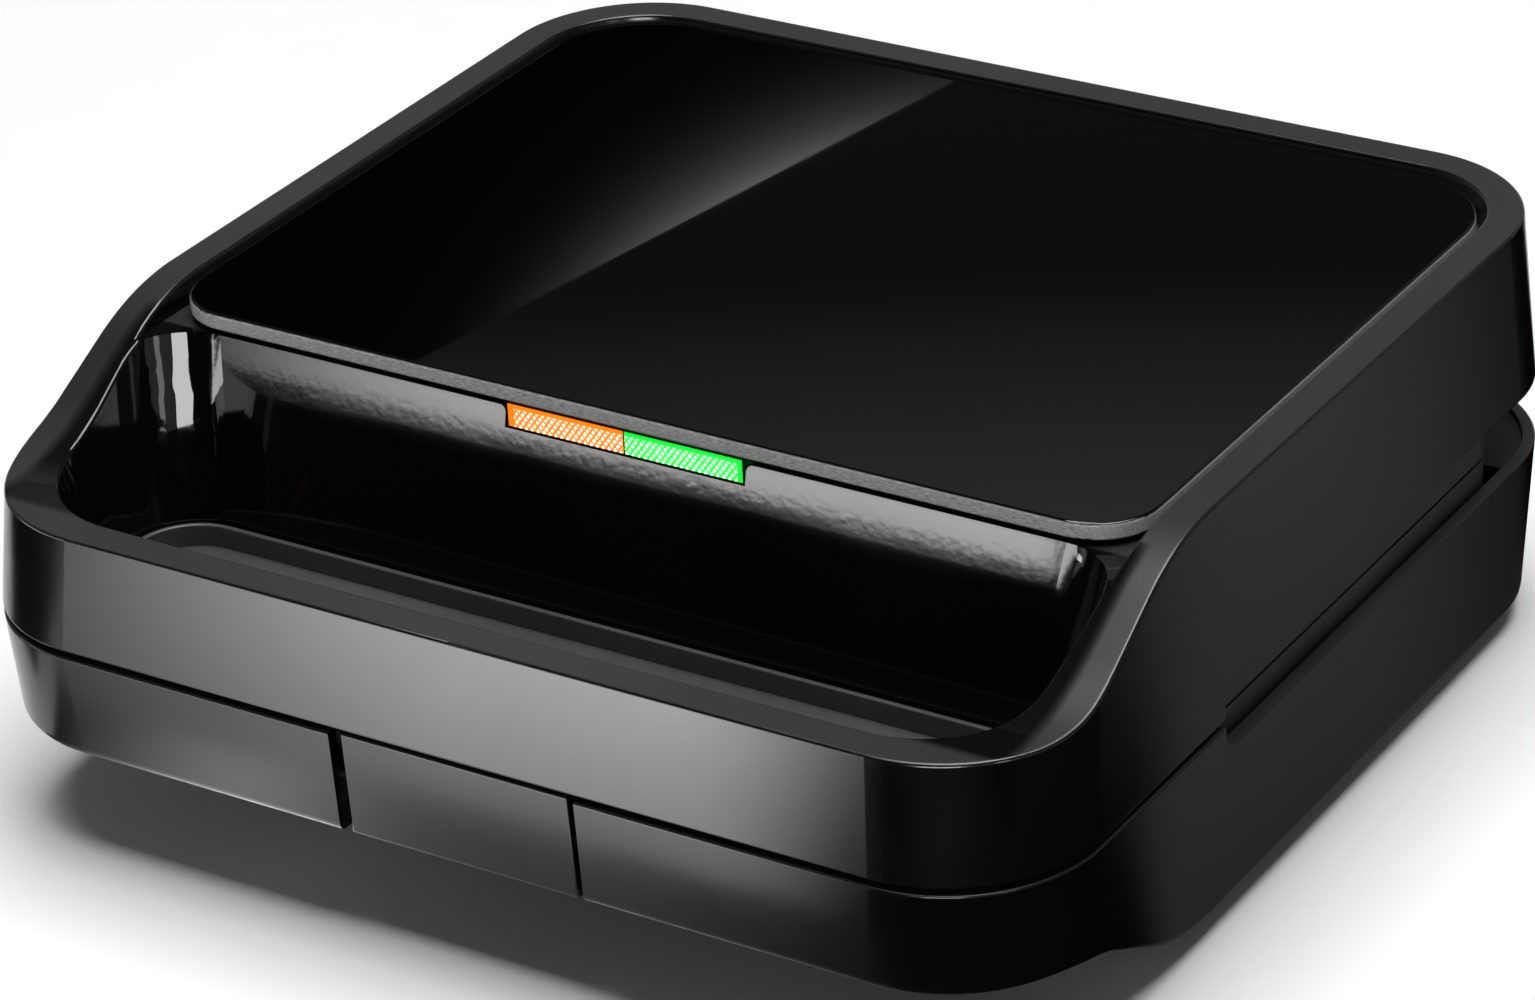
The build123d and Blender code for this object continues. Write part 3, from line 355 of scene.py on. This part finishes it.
def make_satin_plastic(name, dark, light, low, high, grain=2600.0, strength=0.25):
    """Fine spark-eroded plastic: two close tones, grain in the bump and mottled roughness."""
    material, tree, shader = new_material(name)
    skin = place_group(tree, moulded_skin, wave_scale=700.0, grain_scale=grain, grain_share=0.8)
    mottle = skin.outputs["Mottle"]
    coat(tree, shader, blend(tree, mottle, dark, light), spread(tree, mottle, low, high))
    bump(tree, shader, skin.outputs["Height"], strength, 0.0001)
    return material


def make_plate_coating():
    """Dark non-stick coating with pale flecks, slightly lumpy from the cast metal under it."""
    material, tree, shader = new_material("non-stick coating")
    skin = place_group(tree, moulded_skin, wave_scale=900.0, grain_scale=4200.0, grain_share=0.5)
    speckle = place_group(tree, coating_speckle, scale=1500.0, threshold=0.24)
    mottle = skin.outputs["Mottle"]
    ground = blend(tree, mottle, (0.014, 0.014, 0.0145), (0.024, 0.024, 0.025))
    colour = blend(tree, speckle.outputs["Fleck"], ground, (0.11, 0.11, 0.112))
    coat(tree, shader, colour, spread(tree, mottle, 0.36, 0.46))
    bump(tree, shader, skin.outputs["Height"], 0.3, 0.00012)
    return material


def make_metal(name, dark, light, low, high, lines=8000.0, length=300.0):
    """Bare metal with drawn or brushed lines in its tone, roughness and bump."""
    material, tree, shader = new_material(name)
    tone = place_group(tree, brushed_lines, lines=lines, length=length).outputs["Tone"]
    skin = place_group(tree, moulded_skin, wave_scale=500.0)
    rough = spread(tree, tone, low, high)
    rough = math_node(tree, "MULTIPLY_ADD", skin.outputs["Mottle"], 0.08, rough)
    coat(tree, shader, blend(tree, tone, dark, light), rough)
    shader.inputs["Metallic"].default_value = 1.0
    bump(tree, shader, tone, 0.12, 0.00005)
    return material


def make_foam():
    """Open black foam: round cells as pits, painted darker as their shade, with a dull face."""
    material, tree, shader = new_material("gasket foam")
    speckle = place_group(tree, coating_speckle, scale=1800.0, threshold=0.4)
    height = speckle.outputs["Height"]
    # painted shade: the cells are coloured darker than the foam's face, standing in for shade in
    # the pits
    colour = blend(tree, speckle.outputs["Fleck"], (0.022, 0.022, 0.024), (0.008, 0.008, 0.009))
    coat(tree, shader, colour, spread(tree, height, 0.8, 0.95))
    bump(tree, shader, height, 0.6, 0.0002)
    return material


def make_painted_light_lens(name, deep, pale):
    """Lens whose front is painted as if lit from behind: it emits a colour that is saturated in the
    valleys between the prisms and pale towards their tips. Its sides and back are painted nearly
    black, as shade.
    """
    material, tree, shader = new_material(name)
    tip = add(tree, "ShaderNodeAttribute", attribute_name="prism")
    skin = place_group(tree, moulded_skin, wave_scale=900.0, grain_scale=3800.0, grain_share=0.4)
    uneven = spread(tree, skin.outputs["Height"], -0.12, 0.12, 0.35, 0.95)
    # lit: how far the painted light goes pale, most at the prism tips
    lit = spread(tree, math_node(tree, "ADD", tip.outputs["Fac"], uneven), 0.0, 1.0, 0.28, 0.7)
    # the front faces carry the painted light; the sides and back are painted nearly black, as shade
    front = add(tree, "ShaderNodeAttribute", attribute_name="painted_light_front").outputs["Fac"]
    painted_shade_sides = tuple(0.02*part for part in deep)
    painted_lens_light = blend(tree, front, painted_shade_sides, blend(tree, lit, deep, pale))
    coat(tree, shader, painted_lens_light, spread(tree, skin.outputs["Mottle"], 0.12, 0.2))
    # the painted light is emitted, though the lens is no lamp
    tree.links.new(painted_lens_light, shader.inputs["Emission Color"])
    shader.inputs["Emission Strength"].default_value = 1.0
    return material


def make_lamp(name, core, skin_colour):
    """Small lamp body, brighter in its middle cells."""
    material, tree, shader = new_material(name)
    mottle = place_group(tree, moulded_skin, wave_scale=800.0).outputs["Mottle"]
    colour = blend(tree, mottle, skin_colour, core)
    coat(tree, shader, colour, spread(tree, mottle, 0.15, 0.3))
    tree.links.new(colour, shader.inputs["Emission Color"])
    shader.inputs["Emission Strength"].default_value = 0.8
    return material


shell_gloss = make_shell_gloss()
panel_gloss = make_panel_gloss()
inner_plastic = make_satin_plastic(
    "satin inner plastic", (0.006, 0.006, 0.0064), (0.011, 0.011, 0.0115), 0.38, 0.48)
tray_plastic = make_satin_plastic(
    "satin tray plastic", (0.05, 0.05, 0.051), (0.075, 0.075, 0.0765), 0.26, 0.34)
holder_plastic = make_satin_plastic(
    "lamp holder plastic", (0.55, 0.54, 0.5), (0.63, 0.62, 0.58), 0.45, 0.55)
rubber = make_satin_plastic(
    "soft rubber", (0.012, 0.012, 0.012), (0.024, 0.024, 0.025), 0.62, 0.78, 1800.0, 0.5)
ceramic = make_satin_plastic(
    "white ceramic", (0.68, 0.67, 0.63), (0.78, 0.77, 0.74), 0.28, 0.4, 3200.0, 0.2)
thermostat_body = make_satin_plastic(
    "thermostat phenolic", (0.03, 0.018, 0.012), (0.055, 0.032, 0.02), 0.4, 0.55, 2400.0, 0.3)
fuse_sleeve = make_satin_plastic(
    "fuse sleeve weave", (0.6, 0.57, 0.5), (0.75, 0.72, 0.66), 0.6, 0.75, 3000.0, 0.6)
plate_coating = make_plate_coating()
steel = make_metal("zinc steel", (0.5, 0.5, 0.51), (0.66, 0.66, 0.67), 0.24, 0.36)
heater_sheath = make_metal(
    "heater sheath", (0.2, 0.19, 0.18), (0.34, 0.32, 0.3), 0.42, 0.55, 5200.0, 900.0)
shield_sheet = make_metal(
    "shield sheet", (0.6, 0.6, 0.6), (0.74, 0.74, 0.74), 0.3, 0.42, 6000.0, 120.0)
gasket_foam = make_foam()
amber_lens = make_painted_light_lens("amber lens", (0.9, 0.2, 0.01), (1.0, 0.86, 0.66))
green_lens = make_painted_light_lens("green lens", (0.012, 0.72, 0.05), (0.66, 1.0, 0.78))
amber_lamp = make_lamp("amber lamp", (1.0, 0.66, 0.3), (0.9, 0.3, 0.03))
green_lamp = make_lamp("green lamp", (0.5, 1.0, 0.56), (0.08, 0.75, 0.15))

# every node that isn't named here is plain steel: screws, pins, clips and the fuse's strap
FINISHES = {
    "base_housing": shell_gloss, "lid_housing": shell_gloss, "latch_lever": shell_gloss,
    "handle_cover": inner_plastic, "handle_tray": tray_plastic,
    "base_rear_cover": inner_plastic, "lid_rear_cover": inner_plastic,
    "top_panel": panel_gloss, "panel_gasket": gasket_foam,
    "lower_plate": plate_coating, "upper_plate": plate_coating,
    "lower_heating_element": heater_sheath, "upper_heating_element": heater_sheath,
    "lower_heat_shield": shield_sheet, "upper_heat_shield": shield_sheet,
    "foot_front_left": rubber, "foot_front_right": rubber,
    "foot_rear_left": rubber, "foot_rear_right": rubber, "cord_gland": rubber,
    "terminal_block": ceramic, "thermostat": thermostat_body, "thermal_fuse": fuse_sleeve,
    "lamp_holder": holder_plastic, "lamp_amber": amber_lamp, "lamp_green": green_lamp,
    "indicator_lens_amber": amber_lens, "indicator_lens_green": green_lens,
}
for name, thing in nodes.items():
    thing.data.materials.clear()
    thing.data.materials.append(FINISHES.get(name, steel))


# ---------------------------------------------------------------- lenses

for colour, side, finish, end in (("amber", -1, amber_lens, 1.5), ("green", 1, green_lens, 1.0)):
    lens = prism_lens(f"lens_prisms_{colour}", f"indicator_lens_{colour}", side, plain_end=end)
    lens.data.materials.append(finish)
    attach(lens, "lid")
    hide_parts(f"indicator_lens_{colour}")


# ---------------------------------------------------------------- floor, light and camera

FLAT_RINGS = (0.0005, 0.4, 1.0, 2.0)
WALL_BEND = 0.4
WALL_RADIUS = 3.2
WALL_TOP = 0.95
FLOOR_TURNS = 96
CARD_POINTS = 33


def make_floor():
    """Pale floor with a low curved wall: a radius-height profile carried round a circle."""
    turn = np.linspace(0.0, 2.0*np.pi, FLOOR_TURNS, endpoint=False)
    bend = np.linspace(0.0, 0.5*np.pi, 13)
    curve = WALL_RADIUS - WALL_BEND + WALL_BEND*np.sin(bend)
    radius = np.concatenate([FLAT_RINGS, curve, [WALL_RADIUS]])
    rise = WALL_BEND - WALL_BEND*np.cos(bend)
    height = np.concatenate([np.zeros(len(FLAT_RINGS)), rise, [WALL_TOP]])
    r, t = np.meshgrid(radius, turn, indexing="ij")
    z = np.broadcast_to(height[:, None], r.shape)
    points = np.stack([r*np.cos(t), r*np.sin(t), z], axis=-1).reshape(-1, 3)
    rings = np.arange(r.size).reshape(r.shape)
    faces = [face for low, high in zip(rings[:-1], rings[1:]) for face in ring_faces(low, high)]
    faces.append(rings[0][::-1].tolist())
    floor = mesh_object("pale_floor", points, faces, smooth=True)
    material, tree, shader = new_material("pale paper floor")
    skin = place_group(tree, moulded_skin, wave_scale=90.0, grain_scale=900.0)
    colour = blend(tree, skin.outputs["Mottle"], (0.85, 0.85, 0.85), (0.87, 0.87, 0.87))
    tree.links.new(colour, shader.inputs["Base Color"])
    shader.inputs["Roughness"].default_value = 0.9
    shader.inputs["Specular IOR Level"].default_value = 0.0
    floor.data.materials.append(material)


def make_world():
    """Dim studio: dark low down behind the wall, with a lighter band about 30 degrees up."""
    (low, low_level), (high, high_level), *others = (
        (0.436, 0.03), (0.472, 0.2), (0.56, 0.22), (0.68, 0.05))
    world = bpy.data.worlds.new("studio")
    scene.world = world
    world.use_nodes = True
    tree = world.node_tree
    direction = add(tree, "ShaderNodeTexCoord").outputs["Generated"]
    parts = add(tree, "ShaderNodeSeparateXYZ", {"Vector": direction})
    levels = add(tree, "ShaderNodeValToRGB", {"Fac": parts.outputs["Z"]})
    spots = levels.color_ramp.elements
    spots[0].position, spots[1].position = low, high
    spots[0].color = (low_level, low_level, low_level, 1.0)
    spots[1].color = (high_level, high_level, high_level, 1.0)
    for spot, level in others:
        spots.new(spot).color = (level, level, level, 1.0)
    tree.links.new(levels.outputs["Color"], tree.nodes["Background"].inputs["Color"])


def make_camera():
    """Camera at the photograph's angle: turned, raised and rolled about its target."""
    turn, rise, roll = (math.radians(angle) for angle in (33.16, 27.977, -3.12))
    target, distance = Vector((-0.002722, -0.002301, 0.045)), 1.117779
    focal_pixels, image_width, sensor_width = 5611.466, 1535.0, 36.0
    back = Vector((math.sin(turn)*math.cos(rise), -math.cos(turn)*math.cos(rise), math.sin(rise)))
    right = Vector((math.cos(turn), math.sin(turn), 0.0))
    up = back.cross(right)
    level_right = math.cos(roll)*right + math.sin(roll)*up
    level_up = math.cos(roll)*up - math.sin(roll)*right
    camera = bpy.data.cameras.new("camera")
    camera.sensor_width = sensor_width
    camera.lens = focal_pixels*sensor_width/image_width
    camera.clip_start, camera.clip_end = 0.05, 20.0
    thing = bpy.data.objects.new("camera", camera)
    turned = Matrix((level_right, level_up, back)).transposed().to_4x4()
    thing.matrix_world = Matrix.Translation(target + distance*back) @ turned
    scene.collection.objects.link(thing)
    scene.camera = thing


def make_overhead_light():
    """One wide soft light above the object, aimed almost straight down."""
    place, target = Vector((0.12, 0.05, 2.2)), Vector((0.05, 0.05, 0.0))
    lamp = bpy.data.lights.new("overhead soft light", "AREA")
    lamp.shape = "RECTANGLE"
    lamp.size, lamp.size_y = 1.5, 1.6
    lamp.energy = 62.0
    thing = bpy.data.objects.new("overhead soft light", lamp)
    thing.location = place
    thing.rotation_euler = (target - place).to_track_quat("-Z", "Y").to_euler()
    thing.visible_camera = False
    scene.collection.objects.link(thing)


# ---------------------------------------------------------------- cards that the gloss mirrors

def make_card(name, corners, strength=0.0, shade=None):
    """Card that is only seen in gloss, lit or dark: a bilinear grid between four corners, in order.

    u runs from the first corner to the second and v from the first to the last. The strength is
    multiplied by shade(u, v), where that is given. The lit side is the one that u x v points to.
    """
    a, b, c, d = (np.array(corner, float) for corner in corners)
    steps = np.linspace(0.0, 1.0, CARD_POINTS)
    u, v = (grid.reshape(-1, 1) for grid in np.meshgrid(steps, steps))
    points = a*(1 - u)*(1 - v) + b*u*(1 - v) + c*u*v + d*(1 - u)*v
    card = mesh_object(name, points, grid_faces(CARD_POINTS, CARD_POINTS))
    level = (np.ones_like(u) if shade is None else shade(u, v)).ravel()
    card.data.attributes.new("level", "FLOAT", "POINT").data.foreach_set("value", level)
    material = bpy.data.materials.new(name)
    material.use_nodes = True
    tree = material.node_tree
    tree.nodes.clear()
    out = tree.nodes.new("ShaderNodeOutputMaterial")
    own_level = add(tree, "ShaderNodeAttribute", attribute_name="level").outputs["Fac"]
    power = math_node(tree, "MULTIPLY", own_level, strength)
    behind = add(tree, "ShaderNodeNewGeometry").outputs["Backfacing"]
    facing = math_node(tree, "MULTIPLY", power, math_node(tree, "SUBTRACT", 1.0, behind))
    light = add(tree, "ShaderNodeEmission", {"Strength": facing})
    tree.links.new(light.outputs[0], out.inputs["Surface"])
    card.data.materials.append(material)
    card.visible_camera = False
    card.visible_diffuse = False
    card.visible_shadow = False


def lying(height, *spots):
    """The corners of a level card: its height and four (x, y) spots."""
    return [(x, y, height) for x, y in spots]


def standing(start, end, low, high):
    """The corners of an upright card between two (x, y) spots and two heights."""
    return [(*start, low), (*end, low), (*end, high), (*start, high)]


def rear_card_corners():
    """The rear cards, which the panel, the front rim and the corner land mirror.

    All lie in one plane that faces the object. Their corners are (side, up) in that plane, and the
    panel's card hangs from the straight line whose mirror image crosses the panel.
    """
    centre = np.array([-0.43479, 0.68537, 0.51159])
    side = np.array([0.83712, 0.54702, 0.0])
    up = np.array([0.25661, -0.39269, 0.88315])
    first, last = np.array([0.0635, -0.1003]), np.array([-0.1151, -0.0195])
    along = (last - first)/np.linalg.norm(last - first)
    drop = 0.085*np.array([-along[1], along[0]])
    first, last = first - 0.02*along, last + 0.12*along
    panel = [first, last, last + drop, first + drop]
    rim = [(-0.1031, 0.006), (-0.088, 0.11), (-0.30, 0.11), (-0.30, 0.006)]
    land = [(0.0, 0.085), (0.25, 0.085), (0.25, 0.3), (0.0, 0.3)]
    return [[centre + across*side + high*up for across, high in corners]
            for corners in (panel, rim, land)]


def ease(value, width):
    """0 at 0, rising to 1 over the width with a soft start and end: 3*s*s - 2*s*s*s."""
    s = np.clip(value/width, 0.0, 1.0)
    return s*s*(3.0 - 2.0*s)


def fade(value, rate):
    """1 at 0, falling as exp(-rate*value)."""
    return np.exp(-rate*value)


def hump(value, middle, width):
    """1 at the middle, falling to both sides as exp(-((value - middle)/width)^2)."""
    return np.exp(-((value - middle)/width)**2)


def front_floor_shade(u, v):
    """Brightest far from the bar, rising from the left end and soft at the right end."""
    return fade(v, 1.8)*np.minimum(1.0, 0.2 + 1.6*u)*ease(1.0 - u, 0.19)


def near_front_shade(u, v):
    """A bright hump left of the latch on a dim strip that is soft at both ends."""
    return 2.0*hump(u, 0.27, 0.13) + 0.6*ease(u, 0.3)*ease(1.0 - u, 0.45)


def right_side_shade(u, v):
    """Rising towards the rear, with a crisp near side and a soft far side."""
    return (0.075 + 0.34*u)*ease(v, 0.05)*ease(1.0 - v, 0.6)


make_floor()
make_world()
make_camera()
make_overhead_light()
panel_corners, rim_corners, land_corners = rear_card_corners()

# lit cards: the front bar, the recess's rear wall, its corners, the panel and the rim mirror these
make_card("front floor card",
          lying(0.003, (-0.27, -0.36), (-0.039, -0.36), (0.067, -0.155), (-0.14, -0.155)),
          16.5, front_floor_shade)
make_card("front low card", standing((-0.20, -0.66), (-0.53, -0.66), 0.016, 0.07), 9.5,
          lambda u, v: fade(u, 0.25)*ease(1.09 - u, 0.45))
make_card("left low card", standing((-0.53, -0.66), (-1.1, -0.3), 0.016, 0.07), 11.0)
make_card("corner card", standing((0.53, -0.70), (0.205, -0.906), 0.07, 0.3), 13.0)
make_card("corner side card", standing((0.743, -0.368), (0.69, -0.48), 0.07, 0.3), 3.0)
make_card("panel card", panel_corners, 0.78, lambda u, v: fade(v, 9.2)*hump(u, 0.3103, 0.1839))
make_card("rim card", rim_corners, 1.5, lambda u, v: fade(v, 2.6))

# flags and dim cards: these keep the pale floor and its wall out of the gloss
make_card("corner land flag", land_corners, 0.02)
make_card("front right flag",
          lying(0.002, (-0.2, -0.6), (1.0, -0.6), (1.0, -0.1), (0.03, -0.1)))
make_card("front left flag",
          lying(0.004, (-1.0, -0.36), (-0.28, -0.36), (-0.15, -0.125), (-1.0, 0.3)))
make_card("near front flag",
          lying(0.0035, (-0.14, -0.153), (0.09, -0.153), (0.12, -0.1), (-0.12, -0.1)),
          1.0, near_front_shade)
make_card("far front flag", lying(0.004, (-1.0, -1.3), (1.2, -1.3), (1.2, -0.6), (-1.0, -0.6)))
make_card("tall front flag", standing((1.2, -1.3), (-1.0, -1.3), 0.004, 0.7))
make_card("right flag", lying(0.0035, (0.085, -0.125), (1.2, -0.125), (1.2, 1.0), (0.085, 1.0)))
make_card("right side card",
          lying(0.0045, (0.1, -0.095), (0.291, 0.198), (0.291, 0.418), (0.1, 0.125)),
          1.0, right_side_shade)

scene.view_settings.view_transform = "Standard"
